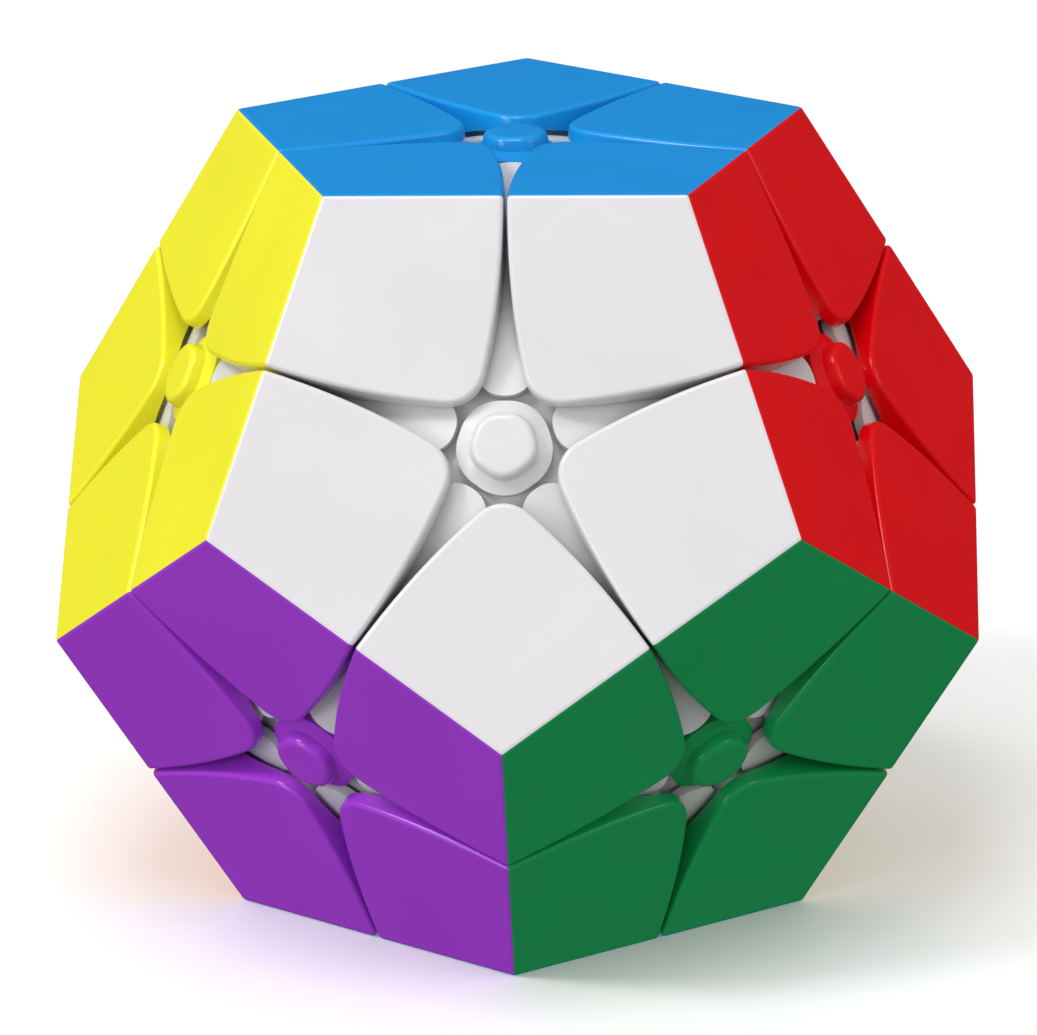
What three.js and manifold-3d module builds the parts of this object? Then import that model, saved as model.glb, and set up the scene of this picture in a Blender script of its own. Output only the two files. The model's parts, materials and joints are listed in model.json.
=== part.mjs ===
// A dodecahedron twisty puzzle: twelve coloured faces, one turning layer under each of them.
//
// Every layer is cut free by the same stepped surface of revolution about its face's axis.
// A piece is what lies inside the cuts of its own faces and outside the cuts of the others:
// three faces make a corner, two an inner edge, and one a centre, which its screw holds to the core.
// Feet hold it together: the corners' under the inner edges, and theirs under the centres' flanges.
//
// Units are millimetres and +Z is up. The puzzle stands on a face, and the origin is that face's middle.

import * as THREE from 'three';
import { mergeVertices } from 'three/addons/utils/BufferGeometryUtils.js';
import Module from 'manifold-3d';

const wasm = await Module();
wasm.setup();

const { acos, asin, cos, max, sin, sqrt, tan, PI } = Math;
const DEGREE = PI / 180;

// ---- Driving dimensions ----

const FACE_TO_FACE = 65;
const SLIDING_PLAY = 0.2; // from a cut to the pieces on either side of it
const RADIAL_PLAY = 0.3; // from a step in the cut to the pieces above and below it
const WAIST_PLAY = 0.45; // from a cut to the slimmer waist that joins two storeys of an inner edge

// Where the cut steps in or out, as distances from the puzzle's middle.
const EAR_TOP = 31.4;
const FLANGE_TOP = 29.4;
const FOOT_TOP = 20.5;
const FOOT_BOTTOM = 15.5;

// The cut's angle from the face's axis between those steps. Above the ears it runs to the middles
// of the dodecahedron's edges, as worked out below.
const EAR_CUT = 56 * DEGREE;
const NECK_CUT = 45 * DEGREE;
const FOOT_CUT = 50.5 * DEGREE;

// How round the points of each piece are, seen from the puzzle's middle.
const SHELL_ROUND = 5.2 * DEGREE;
const INNER_ROUND = 3 * DEGREE;
const EAR_ROUND = 2.4 * DEGREE;
const WAIST_ROUND = 1 * DEGREE;

const CAP_TOP = 32.5;
const CAP_FLAT_RADIUS = 2.65;
const CAP_SHOULDER = { radius: 2.75, height: 31.5 };
const CAP_RIM = { radius: 3.65, height: 29.8 };
const STEM_RADIUS = 3.3;
const STEM_BOTTOM = 14.5;
const STEM_FLOOR_TOP = 17;
const SCREW_HOLE_RADIUS = 1.6;
const SPRING_WELL_RADIUS = 2.4;
const SPRING_WELL_TOP = 28;

const CORE_RADIUS = 9;
const POST_RADIUS = 2.8;
const POST_TOP = 14.1;
const SCREW_RADIUS = 1.2;
const SCREW_HEAD_RADIUS = 1.9;
const SCREW_HEAD_BOTTOM = 24;
const SCREW_HEAD_TOP = 26;
const RIB_RADIUS = 1.5;

// How finely round stretches are divided. The arcs of a corner need an even number, so that one
// point falls on the dodecahedron's edge. An inner edge needs its long sides divided too, or the
// flat facets above and below its waists would meet.
const CORNER_ARC_STEPS = 4;
const EDGE_END_STEPS = 4;
const EDGE_SIDE_STEPS = 2;
const ROUND_STEPS = 1;
const CENTRE_SIDES = 12;
const POST_SIDES = 8;
const BALL_DETAIL = 2;
const MERGE_DISTANCE = 1e-4;

// ---- The dodecahedron, from its face-to-face size ----

const GOLDEN_RATIO = (1 + sqrt(5)) / 2;
const INRADIUS = FACE_TO_FACE / 2;
const FACE_TO_FACE_ANGLE = acos(1 / sqrt(5));
const FACE_TO_EDGE = FACE_TO_FACE_ANGLE / 2;
const RING_ELEVATION = PI / 2 - FACE_TO_FACE_ANGLE;
const SHELL_CUT = PI / 2 - FACE_TO_EDGE;
const VERTEX_RADIUS = INRADIUS * sqrt(3) * sqrt(5 - 2 * sqrt(5));
const FACE_TO_VERTEX = acos(INRADIUS / VERTEX_RADIUS);

// The faces: one on top, five around the upper half, five around the lower half and one below.
const TOP_FACE = { name: 'blue', colour: 0x1787d8 };
const UPPER_FACES = [
  { name: 'white', colour: 0xe9e9ea },
  { name: 'red', colour: 0xc40f1b },
  { name: 'pink', colour: 0xf08cc0 },
  { name: 'lime', colour: 0x7fd02a },
  { name: 'yellow', colour: 0xf0ea35 },
];
const LOWER_FACES = [
  { name: 'green', colour: 0x0f6f3a },
  { name: 'cream', colour: 0xf0e2b0 },
  { name: 'grey', colour: 0x8b8f94 },
  { name: 'orange', colour: 0xf5821f },
  { name: 'purple', colour: 0x7f35a8 },
];
const BOTTOM_FACE = { name: 'light_blue', colour: 0x7cc8ee };

const INNER_PLASTIC = { colour: 0xf1f0ec, roughness: 0.5 };
const CORE_PLASTIC = { colour: 0xdcdcd8, roughness: 0.55 };
const SHELL_ROUGHNESS = 0.35;

const UP = new THREE.Vector3(0, 0, 1);

/** The direction at a bearing around +Z, measured from -Y towards +X, and an elevation above level. */
function direction(bearing, elevation) {
  return new THREE.Vector3(sin(bearing) * cos(elevation), -cos(bearing) * cos(elevation), sin(elevation));
}

/** The twelve faces, each with the direction of its axis. */
function allFaces() {
  const step = (2 * PI) / 5;
  const facing = (face, axis) => ({ ...face, axis });
  return [
    facing(TOP_FACE, UP.clone()),
    ...UPPER_FACES.map((face, i) => facing(face, direction(i * step, RING_ELEVATION))),
    ...LOWER_FACES.map((face, i) => facing(face, direction((i + 0.5) * step, -RING_ELEVATION))),
    facing(BOTTOM_FACE, UP.clone().negate()),
  ];
}

function areNeighbours(one, other) {
  return one.axis.angleTo(other.axis) < FACE_TO_FACE_ANGLE + DEGREE;
}

// ---- Outlines: closed runs of directions from the puzzle's middle ----

/** The direction at given angles from two axes, on the same side of both as the piece's own +Z. */
function meetingPoint(one, oneAngle, other, otherAngle) {
  const share = one.dot(other);
  const across = new THREE.Vector3().crossVectors(one, other);
  const spread = across.lengthSq();
  const alongOne = (cos(oneAngle) - share * cos(otherAngle)) / spread;
  const alongOther = (cos(otherAngle) - share * cos(oneAngle)) / spread;
  const flat = new THREE.Vector3().addScaledVector(one, alongOne).addScaledVector(other, alongOther);
  const rise = sqrt((1 - flat.lengthSq()) / spread) * Math.sign(across.z);
  return flat.addScaledVector(across, rise);
}

/** The direction at an angle from an axis, towards another direction. */
function towards(axis, target, angle) {
  const sideways = target.clone().addScaledVector(axis, -target.dot(axis)).normalize();
  return sideways.multiplyScalar(sin(angle)).addScaledVector(axis, cos(angle));
}

/** Directions around an axis from one to another by the short way, without the last one. */
function arc(axis, from, to, steps) {
  const across = new THREE.Vector3().crossVectors(from, to);
  const start = towards(axis, from, PI / 2);
  const turn = start.angleTo(towards(axis, to, PI / 2)) * Math.sign(across.dot(axis));
  return Array.from({ length: steps }, (_, i) => from.clone().applyAxisAngle(axis, (turn * i) / steps));
}

/**
 * The outline inside or outside a run of circles about face axes, with rounded points.
 * A bound is { axis, angle, inside, steps }, and the bounds go counterclockwise around the piece.
 */
function outlineWithin(bounds, round) {
  const points = bounds.map((bound, i) => {
    const next = bounds[(i + 1) % bounds.length];
    const shrink = (b) => (b.inside ? b.angle - round : b.angle + round);
    const middle = meetingPoint(bound.axis, shrink(bound), next.axis, shrink(next));
    return {
      middle,
      leaves: towards(bound.axis, middle, bound.angle),
      meets: towards(next.axis, middle, next.angle),
    };
  });
  return bounds.flatMap((bound, i) => {
    const before = points[(i + points.length - 1) % points.length];
    const after = points[i];
    return [
      ...arc(bound.axis, before.meets, after.leaves, bound.steps),
      ...arc(after.middle, after.leaves, after.meets, ROUND_STEPS),
    ];
  });
}

// ---- Solids from outlines ----

function atRadius(outline, radius) {
  return outline.map((ray) => ray.clone().multiplyScalar(radius));
}

/** A closed solid from rings of points, outermost first, closed by a point in the middle of each end. */
function solidFromRings(outerPoint, rings, innerPoint) {
  const count = rings[0].length;
  const points = [outerPoint, ...rings.flat(), innerPoint];
  const last = points.length - 1;
  const index = [];
  for (let i = 0; i < count; i++) {
    const next = (i + 1) % count;
    for (let ring = 0; ring + 1 < rings.length; ring++) {
      const outer = 1 + ring * count;
      const inner = outer + count;
      index.push(outer + i, inner + i, outer + next, outer + next, inner + i, inner + next);
    }
    index.push(last, last - count + next, last - count + i);
    index.push(0, 1 + i, 1 + next);
  }
  const geometry = new THREE.BufferGeometry().setFromPoints(points);
  geometry.setIndex(index);
  return geometry;
}

/** A solid turned about +Z from a profile of [radius, height] points, which starts and ends on the axis. */
function turned(profile, sides) {
  const points = profile.map(([radius, height]) => new THREE.Vector2(radius, height));
  const geometry = new THREE.LatheGeometry(points, sides);
  geometry.rotateX(PI / 2);
  return geometry;
}

// ---- The pieces, each with +Z along its own ray from the puzzle's middle ----

/** A corner: three kite-shaped tiles on a stalk, which ends in a foot. */
function cornerGeometry() {
  const axes = [0, 1, 2].map((third) => direction((third * 2 * PI) / 3, PI / 2 - FACE_TO_VERTEX));
  const outline = (cut, radius) => {
    const angle = cut - SLIDING_PLAY / radius;
    const bounds = axes.map((axis) => ({ axis, angle, inside: true, steps: CORNER_ARC_STEPS }));
    return outlineWithin(bounds, SHELL_ROUND);
  };
  const shell = outline(SHELL_CUT, INRADIUS);
  const underEars = outline(EAR_CUT, EAR_TOP);
  const neck = outline(NECK_CUT, FOOT_TOP);
  const foot = outline(FOOT_CUT, FOOT_BOTTOM);
  const depthAlong = (ray) => max(...axes.map((axis) => axis.dot(ray)));
  const onFaces = shell.map((ray) => ray.clone().multiplyScalar(INRADIUS / depthAlong(ray)));
  return solidFromRings(
    UP.clone().multiplyScalar(VERTEX_RADIUS),
    [
      onFaces,
      atRadius(shell, EAR_TOP + RADIAL_PLAY),
      atRadius(underEars, EAR_TOP + RADIAL_PLAY),
      atRadius(underEars, FLANGE_TOP + RADIAL_PLAY),
      atRadius(neck, FLANGE_TOP + RADIAL_PLAY),
      atRadius(neck, FOOT_TOP - RADIAL_PLAY),
      atRadius(foot, FOOT_TOP - RADIAL_PLAY),
      atRadius(foot, FOOT_BOTTOM),
    ],
    UP.clone().multiplyScalar(FOOT_BOTTOM),
  );
}

/** An inner edge: a narrow bar with an ear at each end, on a neck, which ends in a foot. */
function innerEdgeGeometry() {
  const ownAxes = [0, PI].map((bearing) => direction(bearing, PI / 2 - FACE_TO_EDGE));
  const endAxes = [PI / 2, -PI / 2].map((bearing) => direction(bearing, FACE_TO_EDGE));
  const outline = (ownCut, endCut, radius, round, play = SLIDING_PLAY) => {
    const own = { angle: ownCut - play / radius, inside: true, steps: EDGE_SIDE_STEPS };
    const end = { angle: endCut + play / radius, inside: false, steps: EDGE_END_STEPS };
    const bounds = [
      { axis: ownAxes[1], ...own },
      { axis: endAxes[0], ...end },
      { axis: ownAxes[0], ...own },
      { axis: endAxes[1], ...end },
    ];
    return outlineWithin(bounds, round);
  };
  const ears = outline(EAR_CUT, EAR_CUT, EAR_TOP, EAR_ROUND);
  const underEars = outline(NECK_CUT, EAR_CUT, FLANGE_TOP, WAIST_ROUND, WAIST_PLAY);
  const neck = outline(NECK_CUT, NECK_CUT, FOOT_TOP, INNER_ROUND);
  const underNeck = outline(NECK_CUT, FOOT_CUT, FOOT_TOP, INNER_ROUND, WAIST_PLAY);
  const foot = outline(FOOT_CUT, FOOT_CUT, FOOT_BOTTOM, INNER_ROUND);
  return solidFromRings(
    UP.clone().multiplyScalar(EAR_TOP - RADIAL_PLAY),
    [
      atRadius(ears, EAR_TOP - RADIAL_PLAY),
      atRadius(ears, FLANGE_TOP + RADIAL_PLAY),
      atRadius(underEars, FLANGE_TOP + RADIAL_PLAY),
      atRadius(underEars, FLANGE_TOP - RADIAL_PLAY),
      atRadius(neck, FLANGE_TOP - RADIAL_PLAY),
      atRadius(neck, FOOT_TOP + RADIAL_PLAY),
      atRadius(underNeck, FOOT_TOP + RADIAL_PLAY),
      atRadius(underNeck, FOOT_TOP - RADIAL_PLAY),
      atRadius(foot, FOOT_TOP - RADIAL_PLAY),
      atRadius(foot, FOOT_BOTTOM),
    ],
    UP.clone().multiplyScalar(FOOT_BOTTOM),
  );
}

/** A centre: the cap, the flange that holds the inner edges down, and the stem that turns on the screw. */
function centreGeometry() {
  const flangeAngle = FACE_TO_FACE_ANGLE - NECK_CUT;
  const flangeBottom = FOOT_TOP + RADIAL_PLAY;
  const flangeRadius = flangeBottom * tan(flangeAngle) - SLIDING_PLAY;
  const domeRadius = FLANGE_TOP - RADIAL_PLAY;
  const capAngle = asin(CAP_RIM.radius / domeRadius);
  const rimAngle = flangeAngle - SLIDING_PLAY / domeRadius;
  const domePoint = (angle) => [domeRadius * sin(angle), domeRadius * cos(angle)];
  return turned(
    [
      [0, SPRING_WELL_TOP],
      [SPRING_WELL_RADIUS, SPRING_WELL_TOP],
      [SPRING_WELL_RADIUS, STEM_FLOOR_TOP],
      [SCREW_HOLE_RADIUS, STEM_FLOOR_TOP],
      [SCREW_HOLE_RADIUS, STEM_BOTTOM],
      [STEM_RADIUS, STEM_BOTTOM],
      [STEM_RADIUS, flangeBottom],
      [flangeRadius, flangeBottom],
      domePoint(rimAngle),
      domePoint((rimAngle + capAngle) / 2),
      domePoint(capAngle),
      [CAP_RIM.radius, CAP_RIM.height],
      [CAP_SHOULDER.radius, CAP_SHOULDER.height],
      [CAP_FLAT_RADIUS, CAP_TOP],
      [0, CAP_TOP],
    ],
    CENTRE_SIDES,
  );
}

/** A post of the core with its screw, from inside the ball to the screw's head. */
function postGeometry() {
  const buried = CORE_RADIUS / 2;
  return turned(
    [
      [0, buried],
      [POST_RADIUS, buried],
      [POST_RADIUS, POST_TOP],
      [SCREW_RADIUS, POST_TOP],
      [SCREW_RADIUS, SCREW_HEAD_BOTTOM],
      [SCREW_HEAD_RADIUS, SCREW_HEAD_BOTTOM],
      [SCREW_HEAD_RADIUS, SCREW_HEAD_TOP],
      [0, SCREW_HEAD_TOP],
    ],
    POST_SIDES,
  );
}

/** A rib from the core's ball to the foot of an inner edge that is joined to it. */
function ribGeometry() {
  const buried = CORE_RADIUS / 2;
  const footMiddle = (FOOT_TOP + FOOT_BOTTOM) / 2;
  return turned([[0, buried], [RIB_RADIUS, buried], [RIB_RADIUS, footMiddle], [0, footMiddle]], POST_SIDES);
}

// ---- Joining ----

function toSolid(geometry) {
  const bare = geometry.clone();
  bare.deleteAttribute('normal');
  bare.deleteAttribute('uv');
  const merged = mergeVertices(bare, MERGE_DISTANCE);
  return new wasm.Manifold(
    new wasm.Mesh({
      numProp: 3,
      vertProperties: new Float32Array(merged.attributes.position.array),
      triVerts: new Uint32Array(merged.index.array),
    }),
  );
}

function toGeometry(solid) {
  const mesh = solid.getMesh();
  const geometry = new THREE.BufferGeometry();
  geometry.setAttribute('position', new THREE.BufferAttribute(new Float32Array(mesh.vertProperties), 3));
  geometry.setIndex(new THREE.BufferAttribute(new Uint32Array(mesh.triVerts), 1));
  return geometry;
}

/** The core: a ball, its twelve posts and screws, and the ribs and inner edges that are joined to it. */
function coreGeometry(faces, joinedEdges, innerEdge) {
  const place = (geometry, turn) => toSolid(geometry.clone().applyQuaternion(turn));
  let core = toSolid(new THREE.IcosahedronGeometry(CORE_RADIUS, BALL_DETAIL));
  for (const face of faces) {
    core = core.add(place(postGeometry(), placement([face])));
  }
  for (const edge of joinedEdges) {
    core = core.add(place(ribGeometry(), placement(edge))).add(place(innerEdge, placement(edge)));
  }
  return toGeometry(core);
}

// ---- The assembly ----

/** The turn that takes a piece's own frame to its place among the faces it belongs to. */
function placement(faces) {
  const outward = new THREE.Vector3();
  faces.forEach((face) => outward.add(face.axis));
  outward.normalize();
  if (faces.length === 1) {
    return new THREE.Quaternion().setFromUnitVectors(UP, outward);
  }
  const front = towards(outward, faces[0].axis, PI / 2);
  const right = new THREE.Vector3().crossVectors(outward, front);
  return new THREE.Quaternion().setFromRotationMatrix(
    new THREE.Matrix4().makeBasis(right, front.negate(), outward),
  );
}

/** Every set of so many faces that all touch each other. */
function touchingFaces(faces, count) {
  const grow = (group, start) => {
    if (group.length === count) {
      return [group];
    }
    return faces.slice(start).flatMap((face, i) => {
      const fits = group.every((member) => areNeighbours(member, face));
      return fits ? grow([...group, face], start + i + 1) : [];
    });
  };
  return grow([], 0);
}

function pieceName(kind, faces) {
  return [kind, ...faces.map((face) => face.name)].join('_');
}

function addPiece(group, name, geometry, look, turn) {
  const { colour: color, roughness } = look;
  const mesh = new THREE.Mesh(geometry, new THREE.MeshStandardMaterial({ color, roughness, metalness: 0 }));
  mesh.name = name;
  if (turn) {
    mesh.quaternion.copy(turn);
  }
  group.add(mesh);
}

/** The inner edges around the corner where the lime, orange and grey faces meet are one with the core. */
function isJoinedToCore(faces) {
  return faces.every((face) => ['lime', 'grey', 'orange'].includes(face.name));
}

function buildPuzzle() {
  const faces = allFaces();
  const edges = touchingFaces(faces, 2);
  const corner = cornerGeometry();
  const innerEdge = innerEdgeGeometry();
  const centre = centreGeometry();
  const puzzle = new THREE.Group();
  puzzle.position.z = INRADIUS;

  addPiece(puzzle, 'core', coreGeometry(faces, edges.filter(isJoinedToCore), innerEdge), CORE_PLASTIC);
  for (const face of faces) {
    const look = { colour: face.colour, roughness: SHELL_ROUGHNESS };
    addPiece(puzzle, pieceName('centre', [face]), centre, look, placement([face]));
  }
  for (const edge of edges.filter((pair) => !isJoinedToCore(pair))) {
    addPiece(puzzle, pieceName('inner_edge', edge), innerEdge, INNER_PLASTIC, placement(edge));
  }
  for (const three of touchingFaces(faces, 3)) {
    const look = { colour: three[0].colour, roughness: SHELL_ROUGHNESS };
    addPiece(puzzle, pieceName('corner', three), corner, look, placement(three));
  }

  const group = new THREE.Group();
  group.add(puzzle);
  return group;
}

const group = buildPuzzle();

export default group;
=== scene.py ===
import json
import math

import bmesh
import bpy
from mathutils import Matrix, Quaternion, Vector


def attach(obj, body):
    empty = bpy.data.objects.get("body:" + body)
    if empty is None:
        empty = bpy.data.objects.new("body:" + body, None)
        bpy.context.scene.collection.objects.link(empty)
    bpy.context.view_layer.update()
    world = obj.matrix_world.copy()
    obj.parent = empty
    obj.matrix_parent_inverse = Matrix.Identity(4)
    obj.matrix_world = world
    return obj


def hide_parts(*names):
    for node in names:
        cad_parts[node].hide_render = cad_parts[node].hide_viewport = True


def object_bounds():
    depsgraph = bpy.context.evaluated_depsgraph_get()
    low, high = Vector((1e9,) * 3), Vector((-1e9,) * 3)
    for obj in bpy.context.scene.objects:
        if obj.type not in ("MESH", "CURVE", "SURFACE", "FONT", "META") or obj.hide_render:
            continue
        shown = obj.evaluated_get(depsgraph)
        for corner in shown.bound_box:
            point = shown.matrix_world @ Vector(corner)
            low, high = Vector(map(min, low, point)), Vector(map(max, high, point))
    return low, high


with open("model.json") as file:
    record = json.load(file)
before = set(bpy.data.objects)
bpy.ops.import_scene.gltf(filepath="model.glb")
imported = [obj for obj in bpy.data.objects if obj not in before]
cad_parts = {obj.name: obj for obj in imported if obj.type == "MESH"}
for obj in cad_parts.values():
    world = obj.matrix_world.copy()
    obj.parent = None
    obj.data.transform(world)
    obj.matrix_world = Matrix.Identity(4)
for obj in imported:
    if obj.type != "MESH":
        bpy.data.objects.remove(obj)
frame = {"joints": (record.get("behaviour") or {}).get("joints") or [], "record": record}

# The dodecahedron twisty puzzle in all its separate pieces. Lengths in this script are in millimetres
# from the puzzle's middle, and every mesh is turned into metres when it is put in its place.
MM = 0.001
DEGREE = math.pi / 180

CAD_LOW, CAD_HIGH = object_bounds()
INRADIUS = (CAD_HIGH.z - CAD_LOW.z) / 2 / MM
MIDDLE = Vector((0, 0, (CAD_HIGH.z + CAD_LOW.z) / 2))

# ---- Sizes ----

# The dodecahedron's own angles and its corners' distance, from its height.
FACE_TO_FACE_ANGLE = math.acos(1 / math.sqrt(5))
FACE_TO_EDGE = FACE_TO_FACE_ANGLE / 2
SHELL_CUT = math.pi / 2 - FACE_TO_EDGE
VERTEX_RADIUS = INRADIUS * math.sqrt(3) * math.sqrt(5 - 2 * math.sqrt(5))
FACE_TO_VERTEX = math.acos(INRADIUS / VERTEX_RADIUS)

# The play along the cuts and across their steps, and where the cuts step in or out.
SLIDING_PLAY = 0.13
RADIAL_PLAY = 0.2
EAR_TOP = 31.4
FLANGE_TOP = 30.2
FOOT_TOP = 20.5
FOOT_BOTTOM = 15.5

# The cuts' angles from their face's axis between those steps.
EAR_CUT = 56 * DEGREE
NECK_CUT = 45 * DEGREE
FOOT_CUT = 50.5 * DEGREE

# How round the points of each piece are, seen from the puzzle's middle.
SHELL_ROUND = 5.2 * DEGREE
INNER_ROUND = 3 * DEGREE
EAR_ROUND = 3.9 * DEGREE
WAIST_ROUND = 1 * DEGREE

# How finely curves are divided, how far edges are rounded, and what counts as a sharp edge.
ARC_STEPS = 20
ROUND_STEPS = 10
SHELF_STEPS = 4
TILE_EDGE = 0.36
TILE_EDGE_STEPS = 4
HIDDEN_EDGE = 0.15
HIDDEN_EDGE_STEPS = 2
EAR_EDGE = 0.32
SHARP = 35 * DEGREE
SMOOTH_FOLD = 40 * DEGREE

# The gap between a corner's tiles, and how many such gaps lie between them and the stalk.
SEAM = 0.01
STALK_SEAMS = 4

# The cap's pentagons from the top down: how far their flats are from the axis, and how round
# their corners are.
CAP_TOP = 32.5
CAP_TOP_FLAT = 2.45
CAP_TOP_ROUND = 2.05
CAP_WAIST = 31.4
CAP_WAIST_FLAT = 2.68
CAP_WAIST_ROUND = 2.1
CAP_RIM = 30.85
CAP_RIM_RADIUS = 3.76
CAP_RIM_ROUND = 3.3
CAP_FOOT_ROUND = 3.4
CAP_SIDES = 120
CAP_EDGE = 0.42
CAP_GAP = 0.03
PLUG_RADIUS = 2.25
PLUG_BOTTOM = 27.8
CAP_HOLLOW_RADIUS = 1.6
CAP_HOLLOW_TOP = 31.2

# The centre's base.
STEM_RADIUS = 3.3
STEM_BOTTOM = 14.5
STEM_FLOOR_TOP = 17
SCREW_HOLE_RADIUS = 1.6
SPRING_WELL_RADIUS = 2.4
DOME_STEPS = 8
BASE_SIDES = 72

# The core, its posts and what is screwed into them.
CORE_RADIUS = 9
CORE_DETAIL = 5
POST_RADIUS = 2.8
POST_TOP = 14.1
POST_SIDES = 48
POST_EDGE = 0.3
POST_BORE_EDGE = 0.15
POST_BORE_RADIUS = 1.25
POST_BORE_BOTTOM = 9.2
SCREW_RADIUS = 1.2
SCREW_END = 9.5
SCREW_HEAD_RADIUS = 1.9
SCREW_HEAD_BOTTOM = 24
SCREW_HEAD_TOP = 26
SCREW_SIDES = 48
SCREW_TIP = 0.25
THREAD_PITCH = 0.7
THREAD_DEPTH = 0.13
THREAD_RUN_OUT = 0.4
THREAD_STEPS_PER_PITCH = 8
CROSS_LENGTH = 2.1
CROSS_WIDTH = 0.42
CROSS_DEPTH = 0.8
WASHER_RADIUS = 2.2
WASHER_THICKNESS = 0.25
WASHER_PLAY = 0.1
WASHER_EDGE = 0.06
WASHER_SIDES = 64
WASHER_GAP = 0.02
SPRING_RADIUS = 1.85
SPRING_WIRE = 0.24
SPRING_TURNS = 7
SPRING_FLAT_TURNS = 1
SPRING_GAP = 0.02
SPRING_STEPS_PER_TURN = 28
SPRING_WIRE_SIDES = 10

UP = Vector((0, 0, 1))


def direction(bearing, elevation):
    """The unit direction at a bearing from -Y towards +X and an elevation above level."""
    level = math.cos(elevation)
    return Vector((math.sin(bearing) * level, -math.cos(bearing) * level, math.sin(elevation)))


# ---- Outlines: closed runs of directions from the puzzle's middle ----


def meeting_point(one, one_angle, other, other_angle):
    """The direction at given angles from two axes, on the piece's own side."""
    share = one.dot(other)
    across = one.cross(other)
    spread = across.length_squared
    along_one = (math.cos(one_angle) - share * math.cos(other_angle)) / spread
    along_other = (math.cos(other_angle) - share * math.cos(one_angle)) / spread
    flat = one * along_one + other * along_other
    rise = math.sqrt((1 - flat.length_squared) / spread) * math.copysign(1, across.z)
    return flat + across * rise


def towards(axis, target, angle):
    """The direction at an angle from an axis, towards another direction."""
    sideways = (target - axis * target.dot(axis)).normalized()
    return sideways * math.sin(angle) + axis * math.cos(angle)


def arc(axis, start, end, steps):
    """Directions around an axis from one to another by the short way, without the last one."""
    side = towards(axis, start, math.pi / 2)
    other_side = towards(axis, end, math.pi / 2)
    turn = side.angle(other_side) * math.copysign(1, start.cross(end).dot(axis))
    return [Quaternion(axis, turn * i / steps) @ start for i in range(steps)]


def outline_within(bounds, rounding):
    """The outline inside or outside circles about face axes, with rounded points.

    A bound is (axis, angle, inside, steps), and the bounds go counterclockwise."""
    points = []
    for i, (axis, angle, inside, _) in enumerate(bounds):
        next_axis, next_angle, next_inside, _ = bounds[(i + 1) % len(bounds)]
        shrunk = angle - rounding if inside else angle + rounding
        next_shrunk = next_angle - rounding if next_inside else next_angle + rounding
        middle = meeting_point(axis, shrunk, next_axis, next_shrunk)
        points.append((middle, towards(axis, middle, angle), towards(next_axis, middle, next_angle)))
    outline = []
    for i, (axis, _, _, steps) in enumerate(bounds):
        middle, leaves, meets = points[i]
        outline += arc(axis, points[i - 1][2], leaves, steps)
        outline += arc(middle, leaves, meets, ROUND_STEPS)
    return outline


CORNER_AXES = [direction(third * 2 * math.pi / 3, math.pi / 2 - FACE_TO_VERTEX) for third in range(3)]
EDGE_OWN_AXES = [direction(bearing, math.pi / 2 - FACE_TO_EDGE) for bearing in (0, math.pi)]
EDGE_END_AXES = [direction(bearing, FACE_TO_EDGE) for bearing in (math.pi / 2, -math.pi / 2)]


def corner_outline(cut, radius, rounding=SHELL_ROUND):
    """A corner's outline, inside a cut of each of its three faces."""
    angle = cut - SLIDING_PLAY / radius
    return outline_within([(axis, angle, True, ARC_STEPS) for axis in CORNER_AXES], rounding)


def edge_outline(own_cut, end_cut, radius, rounding):
    """An inner edge's outline, inside its own faces' cuts and outside those at its ends."""
    own = own_cut - SLIDING_PLAY / radius
    end = end_cut + SLIDING_PLAY / radius
    bounds = [
        (EDGE_OWN_AXES[1], own, True, ARC_STEPS // 4),
        (EDGE_END_AXES[0], end, False, ARC_STEPS),
        (EDGE_OWN_AXES[0], own, True, ARC_STEPS // 4),
        (EDGE_END_AXES[1], end, False, ARC_STEPS),
    ]
    return outline_within(bounds, rounding)


# ---- Meshes ----


def at_radius(outline, radius):
    """A ring on the sphere of that radius."""
    return [ray * radius for ray in outline]


def narrowed(outline, radius, share):
    """A ring on the same sphere, drawn in towards the piece's own axis."""
    return [UP.slerp(ray, share) * radius for ray in outline]


def shelf(outline, other, radius):
    """Rings between two outlines on the same sphere, so that the shelf between them follows it."""
    shares = [step / SHELF_STEPS for step in range(1, SHELF_STEPS)]
    return [
        [ray.slerp(end, share) * radius for ray, end in zip(outline, other)] for share in shares
    ]


def skin(rings, outer_point=None, inner_point=None):
    """A bmesh through rings of points, outermost first, closed by a point at either end.

    Without end points the last ring joins the first."""
    made = bmesh.new()
    loops = [[made.verts.new(point) for point in ring] for ring in rings]
    count = len(loops[0])
    pairs = list(zip(loops, loops[1:]))
    if outer_point is None:
        pairs.append((loops[-1], loops[0]))
    for upper, lower in pairs:
        for i in range(count):
            after = (i + 1) % count
            made.faces.new((upper[i], lower[i], lower[after], upper[after]))
    if outer_point is not None:
        tip = made.verts.new(outer_point)
        for i in range(count):
            made.faces.new((tip, loops[0][i], loops[0][(i + 1) % count]))
    if inner_point is not None:
        tip = made.verts.new(inner_point)
        for i in range(count):
            made.faces.new((tip, loops[-1][(i + 1) % count], loops[-1][i]))
    return made


def ring(radius, height, sides, reach=None):
    """A ring around +Z. reach(bearing) scales the radius, for rings that aren't round."""
    points = []
    for i in range(sides):
        bearing = 2 * math.pi * i / sides
        scaled = radius * (reach(bearing) if reach else 1)
        points.append(direction(bearing, 0) * scaled + UP * height)
    return points


def turned(profile, sides):
    """A bmesh turned about +Z from [radius, height] points, closed on the axis at both ends."""
    rings = [ring(radius, height, sides) for radius, height in profile[1:-1]]
    return skin(rings, UP * profile[0][1], UP * profile[-1][1])


def turned_ring(profile, sides):
    """A bmesh turned about +Z from a closed run of [radius, height] points."""
    return skin([ring(radius, height, sides) for radius, height in profile])


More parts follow.
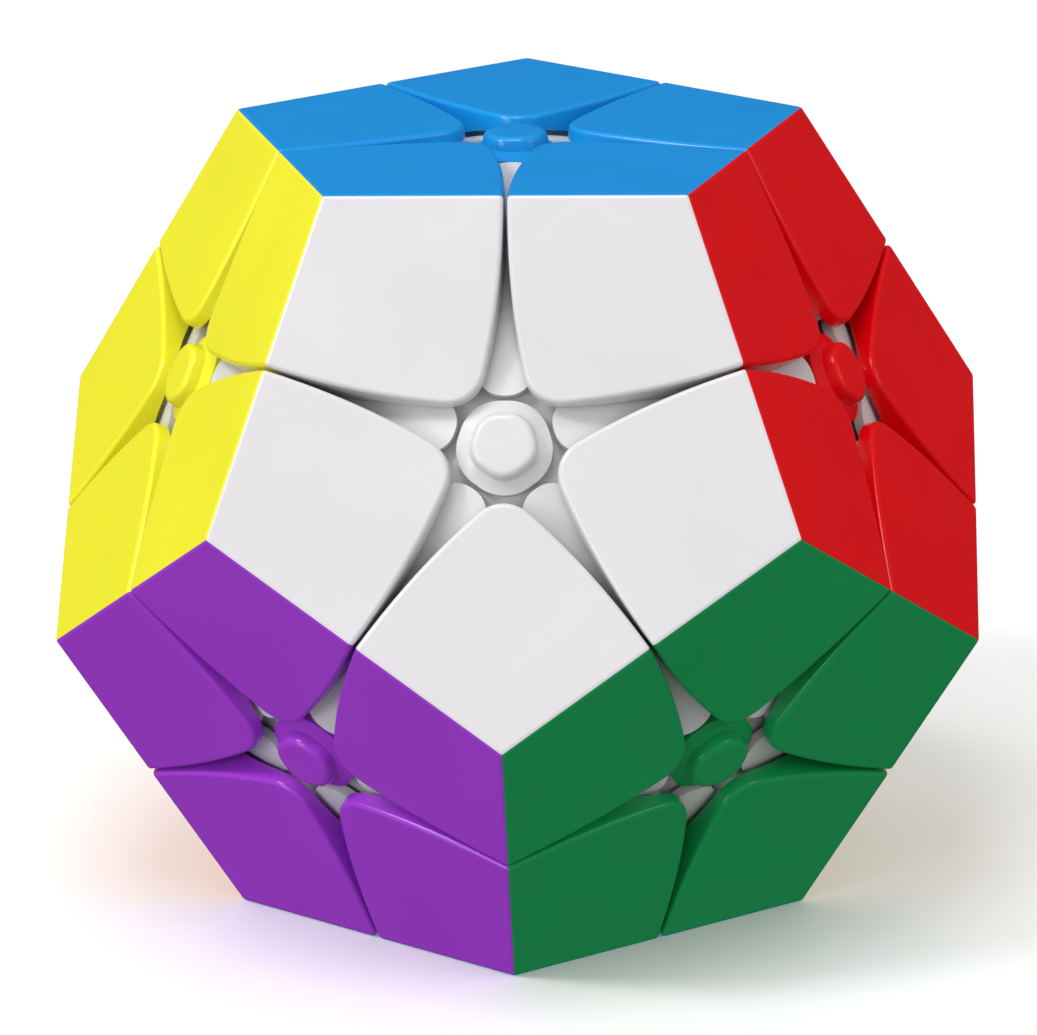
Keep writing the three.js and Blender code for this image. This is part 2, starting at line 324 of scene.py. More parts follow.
def is_sharp(edge):
    return len(edge.link_faces) == 2 and edge.calc_face_angle(0) > SHARP


def round_sharp_edges(made, width):
    """Rounds every sharp edge of a hidden piece."""
    round_edges(made, [edge for edge in made.edges if is_sharp(edge)], width, HIDDEN_EDGE_STEPS)


def ring_edges(made, verts):
    """The edges of a closed ring of vertices, in order."""
    return [made.edges.get((vert, after)) for vert, after in zip(verts, verts[1:] + verts[:1])]


def edges_among(made, verts):
    """The edges that have both ends in a set of vertices."""
    return [edge for edge in made.edges if edge.verts[0] in verts and edge.verts[1] in verts]


def round_edges(made, edges, width, steps):
    """Rounds edges to a width on either side of them."""
    bmesh.ops.bevel(
        made,
        geom=list(edges),
        offset=width,
        offset_type="OFFSET",
        segments=steps,
        profile=0.5,
        affect="EDGES",
        clamp_overlap=True,
    )


def set_soft_normals(mesh):
    """Normals that keep big flats flat: each blends only with faces at a small angle, by their size."""
    mesh.calc_loop_triangles()
    faces_at = [[] for _ in mesh.vertices]
    for polygon in mesh.polygons:
        polygon.use_smooth = True
        for vertex in polygon.vertices:
            faces_at[vertex].append((polygon.normal.copy(), polygon.area))
    least = math.cos(SMOOTH_FOLD)
    normals = []
    for polygon in mesh.polygons:
        own = polygon.normal
        for vertex in polygon.vertices:
            blend = Vector((0, 0, 0))
            for normal, area in faces_at[vertex]:
                if normal.dot(own) > least:
                    blend += normal * area
            normals.append(blend.normalized() if blend.length > 0 else own)
    mesh.normals_split_custom_set(normals)


def to_mesh(made, name):
    """A mesh from a bmesh, which it frees."""
    bmesh.ops.recalc_face_normals(made, faces=made.faces)
    mesh = bpy.data.meshes.new(name)
    made.to_mesh(mesh)
    made.free()
    set_soft_normals(mesh)
    return mesh


# ---- The master pieces, each with +Z along its own ray from the puzzle's middle ----


def tile_master():
    """One kite-shaped tile, the third of a corner's head on the side of CORNER_AXES[0]."""
    shell = corner_outline(SHELL_CUT, INRADIUS)
    rim = corner_outline(EAR_CUT, EAR_TOP, INNER_ROUND)
    bottom = EAR_TOP + RADIAL_PLAY
    made = bmesh.new()
    tops = []
    for ray in shell:
        depth = max(axis.dot(ray) for axis in CORNER_AXES)
        tops.append(made.verts.new(ray * (INRADIUS / depth)))
    apex = made.verts.new(UP * VERTEX_RADIUS)
    lower = [made.verts.new(point) for point in at_radius(shell, bottom)]
    inner = [made.verts.new(point) for point in at_radius(rim, bottom)]
    foot = made.verts.new(UP * bottom)
    count = len(tops)
    for i in range(count):
        after = (i + 1) % count
        made.faces.new((tops[i], lower[i], lower[after], tops[after]))
        made.faces.new((lower[i], inner[i], inner[after], lower[after]))
        made.faces.new((foot, inner[after], inner[i]))
    side = ARC_STEPS + ROUND_STEPS
    ridges = [third * side + ARC_STEPS // 2 for third in range(3)]
    for start in ridges:
        run = [tops[(start + i) % count] for i in range(side + 1)]
        made.faces.new([apex] + run)
    made.normal_update()

    ridge_edges = list(apex.link_edges)
    top_edges = ring_edges(made, tops)
    lower_edges = ring_edges(made, lower)
    round_edges(made, ridge_edges + top_edges, TILE_EDGE, TILE_EDGE_STEPS)
    lower_edges = [edge for edge in lower_edges if edge.is_valid]
    round_edges(made, lower_edges, HIDDEN_EDGE, HIDDEN_EDGE_STEPS)

    for other in CORNER_AXES[1:]:
        across = (CORNER_AXES[0] - other).normalized()
        bmesh.ops.bisect_plane(
            made,
            geom=made.verts[:] + made.edges[:] + made.faces[:],
            plane_co=across * SEAM / 2,
            plane_no=across,
            clear_inner=True,
        )
        open_edges = [edge for edge in made.edges if edge.is_boundary]
        bmesh.ops.holes_fill(made, edges=open_edges, sides=0)
    return to_mesh(made, "tile_master")


def stalk_master():
    """The rest of a corner: the stalk behind the tiles and the foot that holds it in."""
    under_ears = corner_outline(EAR_CUT, EAR_TOP, INNER_ROUND)
    neck = corner_outline(NECK_CUT, FOOT_TOP)
    foot = corner_outline(FOOT_CUT, FOOT_BOTTOM)
    top = EAR_TOP + RADIAL_PLAY - SEAM * STALK_SEAMS
    top_shares = (0.3, 0.6, 0.85)
    foot_shares = (0.8, 0.5, 0.2)
    rings = [narrowed(under_ears, top, share) for share in top_shares]
    rings += [
        at_radius(under_ears, top),
        at_radius(under_ears, FLANGE_TOP + RADIAL_PLAY),
        *shelf(under_ears, neck, FLANGE_TOP + RADIAL_PLAY),
        at_radius(neck, FLANGE_TOP + RADIAL_PLAY),
        at_radius(neck, FOOT_TOP - RADIAL_PLAY),
        at_radius(foot, FOOT_TOP - RADIAL_PLAY),
        at_radius(foot, FOOT_BOTTOM),
    ]
    rings += [narrowed(foot, FOOT_BOTTOM, share) for share in foot_shares]
    made = skin(rings, UP * top, UP * FOOT_BOTTOM)
    round_sharp_edges(made, HIDDEN_EDGE)
    return to_mesh(made, "stalk_master")


def inner_edge_master():
    """An inner edge: a bar with a rounded ear at each end, on a neck, which ends in a foot."""
    top = EAR_TOP - RADIAL_PLAY
    ears = edge_outline(EAR_CUT, EAR_CUT, EAR_TOP, EAR_ROUND)
    under_ears = edge_outline(NECK_CUT, EAR_CUT, FLANGE_TOP, WAIST_ROUND)
    neck = edge_outline(NECK_CUT, NECK_CUT, FOOT_TOP, INNER_ROUND)
    under_neck = edge_outline(NECK_CUT, FOOT_CUT, FOOT_TOP, INNER_ROUND)
    foot = edge_outline(FOOT_CUT, FOOT_CUT, FOOT_BOTTOM, INNER_ROUND)
    top_shares = (0.15, 0.3, 0.45, 0.6, 0.75, 0.88)
    foot_shares = (0.75, 0.4)
    rings = [narrowed(ears, top, share) for share in top_shares]
    rings += [
        at_radius(ears, top),
        at_radius(ears, FLANGE_TOP + RADIAL_PLAY),
        *shelf(ears, under_ears, FLANGE_TOP + RADIAL_PLAY),
        at_radius(under_ears, FLANGE_TOP + RADIAL_PLAY),
        at_radius(under_ears, FLANGE_TOP - RADIAL_PLAY),
        at_radius(neck, FLANGE_TOP - RADIAL_PLAY),
        at_radius(neck, FOOT_TOP + RADIAL_PLAY),
        at_radius(under_neck, FOOT_TOP + RADIAL_PLAY),
        at_radius(under_neck, FOOT_TOP - RADIAL_PLAY),
        at_radius(foot, FOOT_TOP - RADIAL_PLAY),
        at_radius(foot, FOOT_BOTTOM),
    ]
    rings += [narrowed(foot, FOOT_BOTTOM, share) for share in foot_shares]
    made = skin(rings, UP * top, UP * FOOT_BOTTOM)
    made.verts.ensure_lookup_table()
    start = len(top_shares) * len(ears)
    top_ring = set(made.verts[start : start + len(ears)])
    made.normal_update()
    round_edges(made, edges_among(made, top_ring), EAR_EDGE, TILE_EDGE_STEPS)
    made.normal_update()
    return to_mesh(made, "inner_edge_master")


def rounded_pentagon(flat, corner_round):
    """How far a pentagon reaches at a bearing, with rounded corners, flats facing 0, 72, ... degrees."""
    fifth = 2 * math.pi / 5

    def reach(bearing):
        off = (bearing + fifth / 2) % fifth - fifth / 2
        half = fifth / 2
        corner_middle = (flat - corner_round) / math.cos(half)
        flat_end = math.atan2((flat - corner_round) * math.tan(half), flat)
        if abs(off) <= flat_end:
            return flat / math.cos(off)
        gap = half - abs(off)
        side = corner_middle * math.sin(gap)
        return corner_middle * math.cos(gap) + math.sqrt(corner_round**2 - side**2)

    return reach


def cap_master():
    """A centre cap: a flat top with five soft facets around it, and a hollow plug underneath."""
    shape = [
        (CAP_TOP, CAP_TOP_FLAT, CAP_TOP_ROUND),
        (CAP_WAIST, CAP_WAIST_FLAT, CAP_WAIST_ROUND),
        (CAP_RIM, CAP_RIM_RADIUS, CAP_RIM_ROUND),
        (dome_height(CAP_RIM_RADIUS) + CAP_GAP, CAP_RIM_RADIUS, CAP_FOOT_ROUND),
    ]
    top = rounded_pentagon(CAP_TOP_FLAT, CAP_TOP_ROUND)
    top_shares = (0.35, 0.7)
    rings = [ring(share, CAP_TOP, CAP_SIDES, top) for share in top_shares]
    for height, flat, corner_round in shape:
        rings.append(ring(1, height, CAP_SIDES, rounded_pentagon(flat, corner_round)))
    for radius, height in (
        (PLUG_RADIUS, dome_height(PLUG_RADIUS) + CAP_GAP),
        (PLUG_RADIUS, PLUG_BOTTOM),
        (CAP_HOLLOW_RADIUS, PLUG_BOTTOM),
        (CAP_HOLLOW_RADIUS, CAP_HOLLOW_TOP),
    ):
        rings.append(ring(radius, height, CAP_SIDES))
    made = skin(rings, UP * CAP_TOP, UP * CAP_HOLLOW_TOP)
    made.verts.ensure_lookup_table()
    start = len(top_shares) * CAP_SIDES
    top_ring = set(made.verts[start : start + CAP_SIDES])
    made.normal_update()
    round_edges(made, edges_among(made, top_ring), CAP_EDGE, TILE_EDGE_STEPS)
    return to_mesh(made, "cap_master")


def dome_height(radius):
    """The height of the domed top of a centre's flange at a distance from its axis."""
    return math.sqrt((FLANGE_TOP - RADIAL_PLAY) ** 2 - radius**2)


def base_master():
    """A centre's base: the domed flange that the cap plugs into, and the stem around the screw."""
    flange_angle = FACE_TO_FACE_ANGLE - NECK_CUT
    flange_bottom = FOOT_TOP + RADIAL_PLAY
    dome = FLANGE_TOP - RADIAL_PLAY
    rim_radius = dome * math.sin(flange_angle - SLIDING_PLAY / dome)
    profile = [
        (SPRING_WELL_RADIUS, STEM_FLOOR_TOP),
        (SCREW_HOLE_RADIUS, STEM_FLOOR_TOP),
        (SCREW_HOLE_RADIUS, STEM_BOTTOM),
        (STEM_RADIUS, STEM_BOTTOM),
        (STEM_RADIUS, flange_bottom),
        (flange_bottom * math.tan(flange_angle) - SLIDING_PLAY, flange_bottom),
    ]
    for step in range(DOME_STEPS + 1):
        radius = rim_radius + (SPRING_WELL_RADIUS - rim_radius) * step / DOME_STEPS
        profile.append((radius, dome_height(radius)))
    made = turned_ring(profile, BASE_SIDES)
    round_sharp_edges(made, HIDDEN_EDGE)
    return to_mesh(made, "base_master")


def screw_master():
    """A screw: a domed head with a cross recess, a plain shank and a thread."""
    thread_top = POST_TOP - THREAD_RUN_OUT
    rings = []
    for radius, height in (
        (0.5, SCREW_HEAD_TOP),
        (1.1, SCREW_HEAD_TOP - 0.06),
        (1.5, SCREW_HEAD_TOP - 0.22),
        (1.75, SCREW_HEAD_TOP - 0.5),
        (1.87, SCREW_HEAD_TOP - 0.9),
        (SCREW_HEAD_RADIUS, SCREW_HEAD_BOTTOM + 0.15),
        (SCREW_HEAD_RADIUS - 0.1, SCREW_HEAD_BOTTOM),
        (SCREW_RADIUS, SCREW_HEAD_BOTTOM),
        (SCREW_RADIUS, thread_top + THREAD_RUN_OUT),
    ):
        rings.append(ring(radius, height, SCREW_SIDES))
    step = THREAD_PITCH / THREAD_STEPS_PER_PITCH
    for i in range(int((thread_top - SCREW_END) / step)):
        height = thread_top - i * step
        rings.append(ring(1, height, SCREW_SIDES, thread_reach(height, thread_top)))
    rings.append(ring(SCREW_RADIUS * 0.5, SCREW_END - SCREW_TIP, SCREW_SIDES))
    made = skin(rings, UP * SCREW_HEAD_TOP, UP * (SCREW_END - SCREW_TIP))
    return cut_cross(to_mesh(made, "screw_master"))


def thread_reach(height, thread_top):
    """How far a thread reaches at a height, at each bearing. Its first turn gets deeper gradually."""
    depth = THREAD_DEPTH * min(1, (thread_top - height) / THREAD_PITCH)

    def reach(bearing):
        phase = (height / THREAD_PITCH + bearing / (2 * math.pi)) % 1
        return SCREW_RADIUS - depth * (1 - abs(2 * phase - 1))

    return reach


def cut_cross(mesh):
    """Cuts the cross recess into the screw's head."""
    cutter = bmesh.new()
    for turn in (0, math.pi / 2):
        block = bmesh.ops.create_cube(cutter, size=1)
        shape = Matrix.Translation((0, 0, SCREW_HEAD_TOP)) @ Matrix.Rotation(turn, 4, "Z")
        bmesh.ops.transform(
            cutter,
            matrix=shape @ Matrix.Diagonal((CROSS_LENGTH, CROSS_WIDTH, 2 * CROSS_DEPTH, 1)),
            verts=block["verts"],
        )
    return boolean(mesh, [to_mesh(cutter, "cross")], "DIFFERENCE")


def boolean(mesh, tools, operation):
    """The mesh with others joined to it or cut from it, one after another."""
    body = bpy.data.objects.new("boolean_body", mesh)
    bpy.context.scene.collection.objects.link(body)
    helpers = []
    for tool in tools:
        helper = bpy.data.objects.new("boolean_tool", tool)
        bpy.context.scene.collection.objects.link(helper)
        modifier = body.modifiers.new("join", "BOOLEAN")
        modifier.operation = operation
        modifier.solver = "EXACT"
        modifier.use_self = True
        modifier.object = helper
        helpers.append(helper)
    bpy.context.view_layer.update()
    evaluated = body.evaluated_get(bpy.context.evaluated_depsgraph_get())
    result = bpy.data.meshes.new_from_object(evaluated)
    for helper in helpers + [body]:
        bpy.data.objects.remove(helper)
    set_soft_normals(result)
    return result


def washer_master():
    """A flat washer under the screw's head."""
    top = SCREW_HEAD_BOTTOM - WASHER_GAP
    bottom = top - WASHER_THICKNESS
    inner = SCREW_RADIUS + WASHER_PLAY
    profile = [(inner, top), (inner, bottom), (WASHER_RADIUS, bottom), (WASHER_RADIUS, top)]
    made = turned_ring(profile, WASHER_SIDES)
    round_sharp_edges(made, WASHER_EDGE)
    return to_mesh(made, "washer_master")


def spring_height(turn):
    """The height of the spring's wire after some turns: close-wound at the ends, open between."""
    bottom = STEM_FLOOR_TOP + SPRING_WIRE + SPRING_GAP
    top = SCREW_HEAD_BOTTOM - WASHER_THICKNESS - SPRING_WIRE - 2 * SPRING_GAP
    close = 2 * SPRING_WIRE + SPRING_GAP
    if turn < SPRING_FLAT_TURNS:
        return bottom + close * turn
    if turn > SPRING_TURNS - SPRING_FLAT_TURNS:
        return top - close * (SPRING_TURNS - turn)
    share = (turn - SPRING_FLAT_TURNS) / (SPRING_TURNS - 2 * SPRING_FLAT_TURNS)
    return bottom + close + (top - bottom - 2 * close) * share


def spring_master():
    """A compression spring between the stem's floor and the washer."""
    total = SPRING_TURNS * SPRING_STEPS_PER_TURN
    centres = []
    for i in range(total + 1):
        turn = i / SPRING_STEPS_PER_TURN
        centres.append(direction(2 * math.pi * turn, 0) * SPRING_RADIUS + UP * spring_height(turn))
    rings = []
    for i, centre in enumerate(centres):
        before = centres[max(i - 1, 0)]
        after = centres[min(i + 1, total)]
        along = (after - before).normalized()
        outward = Vector((centre.x, centre.y, 0)).normalized()
        side = along.cross(outward).normalized()
        outward = side.cross(along)
        points = []
        for k in range(SPRING_WIRE_SIDES):
            angle = 2 * math.pi * k / SPRING_WIRE_SIDES
            points.append(centre + (outward * math.cos(angle) + side * math.sin(angle)) * SPRING_WIRE)
        rings.append(points)
    made = skin(rings, centres[0], centres[-1])
    return to_mesh(made, "spring_master")


def core_mesh():
    """The core: a ball with twelve bored posts, in its real place around the middle."""
    ball = bmesh.new()
    bmesh.ops.create_icosphere(ball, subdivisions=CORE_DETAIL, radius=CORE_RADIUS)
    profile = [
        (0, CORE_RADIUS / 2),
        (POST_RADIUS, CORE_RADIUS / 2),
        (POST_RADIUS, POST_TOP - POST_EDGE),
        (POST_RADIUS - POST_EDGE, POST_TOP),
        (POST_BORE_RADIUS + POST_BORE_EDGE, POST_TOP),
        (POST_BORE_RADIUS, POST_TOP - POST_BORE_EDGE),
        (POST_BORE_RADIUS, POST_BORE_BOTTOM),
        (0, POST_BORE_BOTTOM),
    ]
    posts = []
    for axis in FACES.values():
        post = to_mesh(turned(profile, POST_SIDES), "post")
        post.transform(UP.rotation_difference(axis).to_matrix().to_4x4())
        posts.append(post)
    return boolean(to_mesh(ball, "ball"), posts, "UNION")


# ---- Materials: noise scales are per metre, and the bumps' height is in metres ----

CLOUD_SCALE = 90
SMEAR_SCALE = 160
GRAIN_SCALE = 2600
STAIN_SCALE = 700
POLISH_SCALE = 1800
BUMP_DISTANCE = 0.00002
PLASTIC_BUMP = 0.03
STEEL_BUMP = 0.3
PLASTIC_GLOSS_SPREAD = 0.03
STEEL_GLOSS_SPREAD = 0.08
CLOUD_DARK = 0.955
CLOUD_LIGHT = 1.035
STAIN_DARK = 0.85
TILE_ROUGHNESS = 0.24
INNER_ROUGHNESS = 0.36
CORE_ROUGHNESS = 0.5


def new_material(name):
    """A material with its nodes, its links and its shader."""
    material = bpy.data.materials.new(name)
    material.use_nodes = True
    nodes = material.node_tree.nodes
    return material, nodes, material.node_tree.links, nodes["Principled BSDF"]


def noise_in(nodes, links, place, scale, detail):
    """A noise fixed to the object."""
    noise = nodes.new("ShaderNodeTexNoise")
    noise.inputs["Scale"].default_value = scale
    noise.inputs["Detail"].default_value = detail
    links.new(place.outputs["Object"], noise.inputs["Vector"])
    return noise


def spread(nodes, links, source, low, high):
    """A number between low and high that follows a noise."""
    span = nodes.new("ShaderNodeMapRange")
    span.inputs["From Min"].default_value = 0.2
    span.inputs["From Max"].default_value = 0.8
    span.inputs["To Min"].default_value = low
    span.inputs["To Max"].default_value = high
    links.new(source, span.inputs["Value"])
    return span.outputs["Result"]


def linear(level):
    """A linear level from one on the screen's curve, both from 0 to 1."""
    return level / 12.92 if level <= 0.04045 else ((level + 0.055) / 1.055) ** 2.4


def linear_colour(red, green, blue):
    """A linear colour from screen levels from 0 to 255."""
    return tuple(linear(level / 255) for level in (red, green, blue))


def plastic(name, colour, roughness):
    """Moulded plastic: faint clouding of the colour, uneven gloss and a fine grain from the mould."""
    material, nodes, links, shader = new_material(name)
    place = nodes.new("ShaderNodeTexCoord")

    clouds = noise_in(nodes, links, place, CLOUD_SCALE, 3)
    tint = nodes.new("ShaderNodeMix")
    tint.data_type = "RGBA"
    tint.inputs["A"].default_value = (*[level * CLOUD_DARK for level in colour], 1)
    tint.inputs["B"].default_value = (*[min(1, level * CLOUD_LIGHT) for level in colour], 1)
    links.new(spread(nodes, links, clouds.outputs["Fac"], 0, 1), tint.inputs["Factor"])
    links.new(tint.outputs["Result"], shader.inputs["Base Color"])

    smears = noise_in(nodes, links, place, SMEAR_SCALE, 2)
    low = roughness - PLASTIC_GLOSS_SPREAD
    high = roughness + PLASTIC_GLOSS_SPREAD
    links.new(spread(nodes, links, smears.outputs["Fac"], low, high), shader.inputs["Roughness"])

    fine = noise_in(nodes, links, place, GRAIN_SCALE, 2)
    bump = nodes.new("ShaderNodeBump")
    bump.inputs["Strength"].default_value = PLASTIC_BUMP
    bump.inputs["Distance"].default_value = BUMP_DISTANCE
    links.new(fine.outputs["Fac"], bump.inputs["Height"])
    links.new(bump.outputs["Normal"], shader.inputs["Normal"])
    return material


def steel(name, colour, roughness):
    """Drawn or turned steel with uneven polish."""
    material, nodes, links, shader = new_material(name)
    place = nodes.new("ShaderNodeTexCoord")
    shader.inputs["Metallic"].default_value = 1
    stains = noise_in(nodes, links, place, STAIN_SCALE, 4)
    tint = nodes.new("ShaderNodeMix")
    tint.data_type = "RGBA"
    tint.inputs["A"].default_value = (*[level * STAIN_DARK for level in colour], 1)
    tint.inputs["B"].default_value = (*colour, 1)
    links.new(spread(nodes, links, stains.outputs["Fac"], 0, 1), tint.inputs["Factor"])
    links.new(tint.outputs["Result"], shader.inputs["Base Color"])
    polish = noise_in(nodes, links, place, POLISH_SCALE, 3)
    low = roughness - STEEL_GLOSS_SPREAD
    high = roughness + STEEL_GLOSS_SPREAD
    links.new(spread(nodes, links, polish.outputs["Fac"], low, high), shader.inputs["Roughness"])
    bump = nodes.new("ShaderNodeBump")
    bump.inputs["Strength"].default_value = STEEL_BUMP
    bump.inputs["Distance"].default_value = BUMP_DISTANCE
    links.new(polish.outputs["Fac"], bump.inputs["Height"])
    links.new(bump.outputs["Normal"], shader.inputs["Normal"])
    return material


TILE_COLOURS = {
    "blue": (20, 140, 213),
    "white": (209, 207, 210),
    "red": (229, 1, 12),
    "pink": (240, 140, 192),
    "lime": (126, 208, 44),
    "yellow": (232, 226, 46),
    "green": (19, 151, 82),
    "cream": (244, 230, 178),
    "grey": (152, 156, 162),
    "orange": (250, 138, 30),
    "purple": (159, 58, 206),
    "light_blue": (136, 208, 244),
}
INNER_COLOUR = (212, 211, 212)
CORE_COLOUR = (200, 200, 199)

# ---- The assembly ----

NODE_BODIES = {}
for body_name, members in frame["record"]["behaviour"]["bodies"].items():
    for member in members:
        NODE_BODIES[member] = body_name
ROOT = NODE_BODIES["core"]

FACES = {}
for joint in frame["joints"]:
    face_name = joint["child"].removesuffix("_layer").removesuffix("_centre")
    FACES[face_name] = Vector(joint["axis"]).normalized()


def place(master, name, turn, material, body, slot, *nodes):
    """Puts a copy of a master mesh in its place, as a piece that rides on a body and stands for nodes."""
    mesh = master.copy()
    mesh.name = name
    mesh.transform(Matrix.Translation(MIDDLE) @ turn.to_matrix().to_4x4() @ Matrix.Scale(MM, 4))
    mesh.materials.clear()
    mesh.materials.append(material)
    piece = bpy.data.objects.new(name, mesh)
    bpy.context.scene.collection.objects.link(piece)
    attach(piece, body)
    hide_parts(*nodes)


def turn_to(outward, front):
    """The turn that takes +Z to outward, and -Y to the side on which front lies."""
    forward = towards(outward, front, math.pi / 2)
    right = outward.cross(forward)
    return Matrix((right, -forward, outward)).transposed().to_quaternion()


def neighbours(face):
    """The five faces around a face."""
    return [other for other in FACES if abs(FACES[other].angle(FACES[face]) - FACE_TO_FACE_ANGLE) < DEGREE]


def build_puzzle():
    """Puts every piece in its place, on the body that carries its CAD node."""
    tile = tile_master()
    stalk = stalk_master()
    bar = inner_edge_master()
    cap = cap_master()
    base = base_master()
    screw = screw_master()
    washer = washer_master()
    spring = spring_master()

    tiles = {}
    for face in FACES:
        tiles[face] = plastic(f"{face}_tile", linear_colour(*TILE_COLOURS[face]), TILE_ROUGHNESS)
    inner = plastic("inner_plastic", linear_colour(*INNER_COLOUR), INNER_ROUGHNESS)
    middle = plastic("core_plastic", linear_colour(*CORE_COLOUR), CORE_ROUGHNESS)
    bright_steel = steel("screw_steel", (0.62, 0.62, 0.6), 0.3)
    spring_steel = steel("spring_steel", (0.45, 0.45, 0.46), 0.35)

    for node in NODE_BODIES:
        kind, _, rest = node.partition("_")
        if kind != "corner":
            continue
        faces = corner_faces(rest)
        body = NODE_BODIES[node]
        outward = sum((FACES[face] for face in faces), Vector()).normalized()
        for face in faces:
            turn = turn_to(outward, FACES[face])
            place(tile, f"tile_{face}_of_{rest}", turn, tiles[face], body, f"{face}_tile", node)
        place(stalk, f"stalk_{rest}", turn_to(outward, FACES[faces[0]]), inner, body, "inner_plastic", node)

    done = set()
    for face in FACES:
        for other in neighbours(face):
            if other in done:
                continue
            node = edge_node(face, other)
            body = NODE_BODIES[node]
            outward = (FACES[face] + FACES[other]).normalized()
            name = f"inner_edge_{face}_{other}"
            place(bar, name, turn_to(outward, FACES[face]), inner, body, "inner_plastic", node)
        done.add(face)

    for face, axis in FACES.items():
        turn = turn_to(axis, FACES[neighbours(face)[0]])
        node = f"centre_{face}"
        body = NODE_BODIES[node]
        place(cap, f"cap_{face}", turn, tiles[face], body, f"{face}_tile", node)
        place(base, f"centre_base_{face}", turn, inner, body, "inner_plastic", node)
        place(screw, f"screw_{face}", turn, bright_steel, ROOT, "core_plastic", "core")
        place(washer, f"washer_{face}", turn, bright_steel, ROOT, "core_plastic", "core")
        place(spring, f"spring_{face}", turn, spring_steel, ROOT, "core_plastic", "core")

    place(core_mesh(), "core_ball", Quaternion(), middle, ROOT, "core_plastic", "core")


def corner_faces(names):
    """The three faces of a corner, from the end of its node's name."""
    faces = []
    while names:
        face = max((f for f in FACES if names == f or names.startswith(f + "_")), key=len)
        faces.append(face)
        names = names[len(face) + 1 :]
    return faces


def edge_node(face, other):
    """The node of an inner edge between two faces, or the core for those that are joined to it."""
    for node in (f"inner_edge_{face}_{other}", f"inner_edge_{other}_{face}"):
        if node in NODE_BODIES:
            return node
    return "core"


# ---- Floor, light and camera, in metres and watts ----

FLOOR_RADIUS = 6
FLOOR_CLOUD_SCALE = 3


def stage_material():
    """A pale, almost even floor."""
    material, nodes, links, shader = new_material("pale_floor")
    place = nodes.new("ShaderNodeTexCoord")
    clouds = noise_in(nodes, links, place, FLOOR_CLOUD_SCALE, 2)
    tint = nodes.new("ShaderNodeMix")
    tint.data_type = "RGBA"
    tint.inputs["A"].default_value = (0.94, 0.94, 0.94, 1)
    tint.inputs["B"].default_value = (0.96, 0.96, 0.96, 1)
    links.new(clouds.outputs["Fac"], tint.inputs["Factor"])
    links.new(tint.outputs["Result"], shader.inputs["Base Color"])
    shader.inputs["Roughness"].default_value = 0.8
    shader.inputs["Specular IOR Level"].default_value = 0.2
    return material


def build_floor():
    """A floor that shows only directly: it throws no light or reflection back onto the puzzle."""
    made = bmesh.new()
    bmesh.ops.create_circle(made, cap_ends=True, segments=96, radius=FLOOR_RADIUS)
    mesh = bpy.data.meshes.new("floor")
    made.to_mesh(mesh)
    made.free()
    mesh.materials.append(stage_material())
    floor = bpy.data.objects.new("floor", mesh)
    floor.visible_glossy = False
    floor.visible_diffuse = False
    floor.visible_shadow = False
    bpy.context.scene.collection.objects.link(floor)


def area_light(name, bearing, elevation, distance, size, power):
    """A square lamp that faces the puzzle's middle."""
    data = bpy.data.lights.new(name, "AREA")
    data.shape = "SQUARE"
    data.size = size
    data.energy = power
    light = bpy.data.objects.new(name, data)
    bpy.context.scene.collection.objects.link(light)
    back = direction(bearing, elevation)
    light.location = MIDDLE + back * distance
    light.rotation_euler = back.to_track_quat("Z", "Y").to_euler()


# How bright the empty studio is: on what it lights, in what it is mirrored in, and seen directly.
WORLD_LIGHT = 0.78
WORLD_LIGHT_BELOW = 0.4
WORLD_DARK_HEIGHT = -0.35
WORLD_FULL_HEIGHT = 0.15
WORLD_SHINE = 0.03
WORLD_SEEN = 0.97


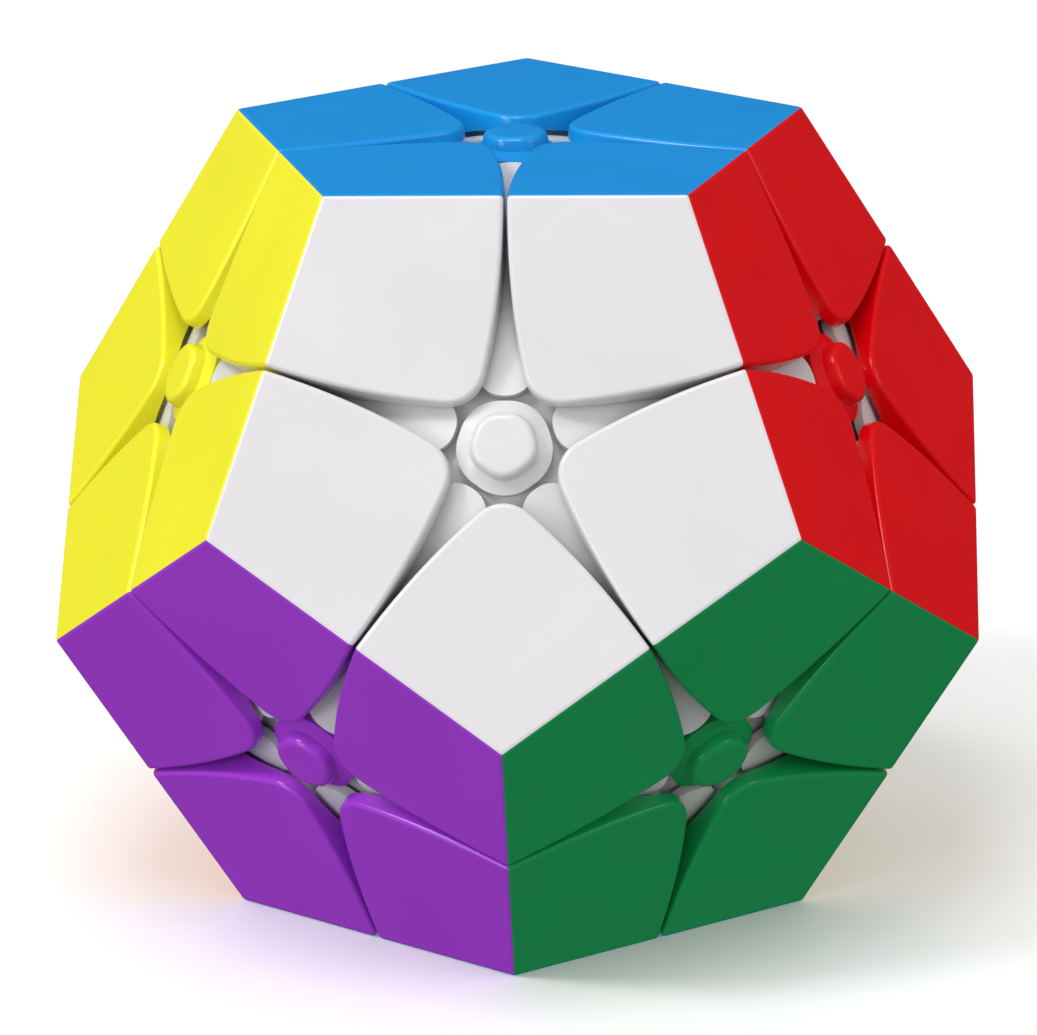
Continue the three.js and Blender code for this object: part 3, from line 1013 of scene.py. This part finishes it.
def build_lights():
    """A pale studio, a little darker below, and four soft lamps."""
    world = bpy.data.worlds.new("studio")
    bpy.context.scene.world = world
    world.use_nodes = True
    nodes = world.node_tree.nodes
    links = world.node_tree.links
    background = nodes["Background"]
    background.inputs["Color"].default_value = (1, 1, 1, 1)
    sky = nodes.new("ShaderNodeTexCoord")
    split = nodes.new("ShaderNodeSeparateXYZ")
    links.new(sky.outputs["Generated"], split.inputs["Vector"])
    above = nodes.new("ShaderNodeMapRange")
    above.inputs["From Min"].default_value = WORLD_DARK_HEIGHT
    above.inputs["From Max"].default_value = WORLD_FULL_HEIGHT
    above.inputs["To Min"].default_value = WORLD_LIGHT_BELOW
    above.inputs["To Max"].default_value = WORLD_LIGHT
    links.new(split.outputs["Z"], above.inputs["Value"])
    rays = nodes.new("ShaderNodeLightPath")
    shine = nodes.new("ShaderNodeMix")
    links.new(above.outputs["Result"], shine.inputs["A"])
    shine.inputs["B"].default_value = WORLD_SHINE
    links.new(rays.outputs["Is Glossy Ray"], shine.inputs["Factor"])
    seen = nodes.new("ShaderNodeMix")
    seen.inputs["B"].default_value = WORLD_SEEN
    links.new(rays.outputs["Is Camera Ray"], seen.inputs["Factor"])
    links.new(shine.outputs["Result"], seen.inputs["A"])
    links.new(seen.outputs["Result"], background.inputs["Strength"])
    area_light(
        "key",
        bearing=-58 * DEGREE,
        elevation=46 * DEGREE,
        distance=0.9,
        size=0.18,
        power=2.8,
    )
    area_light(
        "overhead",
        bearing=-15 * DEGREE,
        elevation=68 * DEGREE,
        distance=1.0,
        size=0.35,
        power=2.4,
    )
    area_light(
        "front_left",
        bearing=-42 * DEGREE,
        elevation=10 * DEGREE,
        distance=1.0,
        size=0.4,
        power=2.4,
    )
    area_light(
        "fill",
        bearing=62 * DEGREE,
        elevation=28 * DEGREE,
        distance=1.2,
        size=0.5,
        power=1.1,
    )


CAMERA_BEARING = 2.546 * DEGREE
CAMERA_ELEVATION = 17.894 * DEGREE
CAMERA_DISTANCE = 0.56483
CAMERA_ROLL = -0.8555 * DEGREE
CAMERA_AIM = Vector((-0.196, -0.311, -0.930)) * MM
CAMERA_LENS = 233.77
CAMERA_SENSOR = 36
CAMERA_REACH = 50


def build_camera():
    """A long lens, in front and a little above."""
    data = bpy.data.cameras.new("camera")
    data.lens = CAMERA_LENS
    data.sensor_width = CAMERA_SENSOR
    data.clip_end = CAMERA_REACH
    camera = bpy.data.objects.new("camera", data)
    bpy.context.scene.collection.objects.link(camera)
    position = MIDDLE + direction(CAMERA_BEARING, CAMERA_ELEVATION) * CAMERA_DISTANCE
    back = position - (MIDDLE + CAMERA_AIM)
    turn = back.to_track_quat("Z", "Y") @ Quaternion((0, 0, 1), CAMERA_ROLL)
    camera.rotation_mode = "QUATERNION"
    camera.location = position
    camera.rotation_quaternion = turn
    bpy.context.scene.camera = camera


build_camera()
build_puzzle()
build_floor()
build_lights()
bpy.context.scene.view_settings.view_transform = "Standard"

bpy.context.view_layer.update()
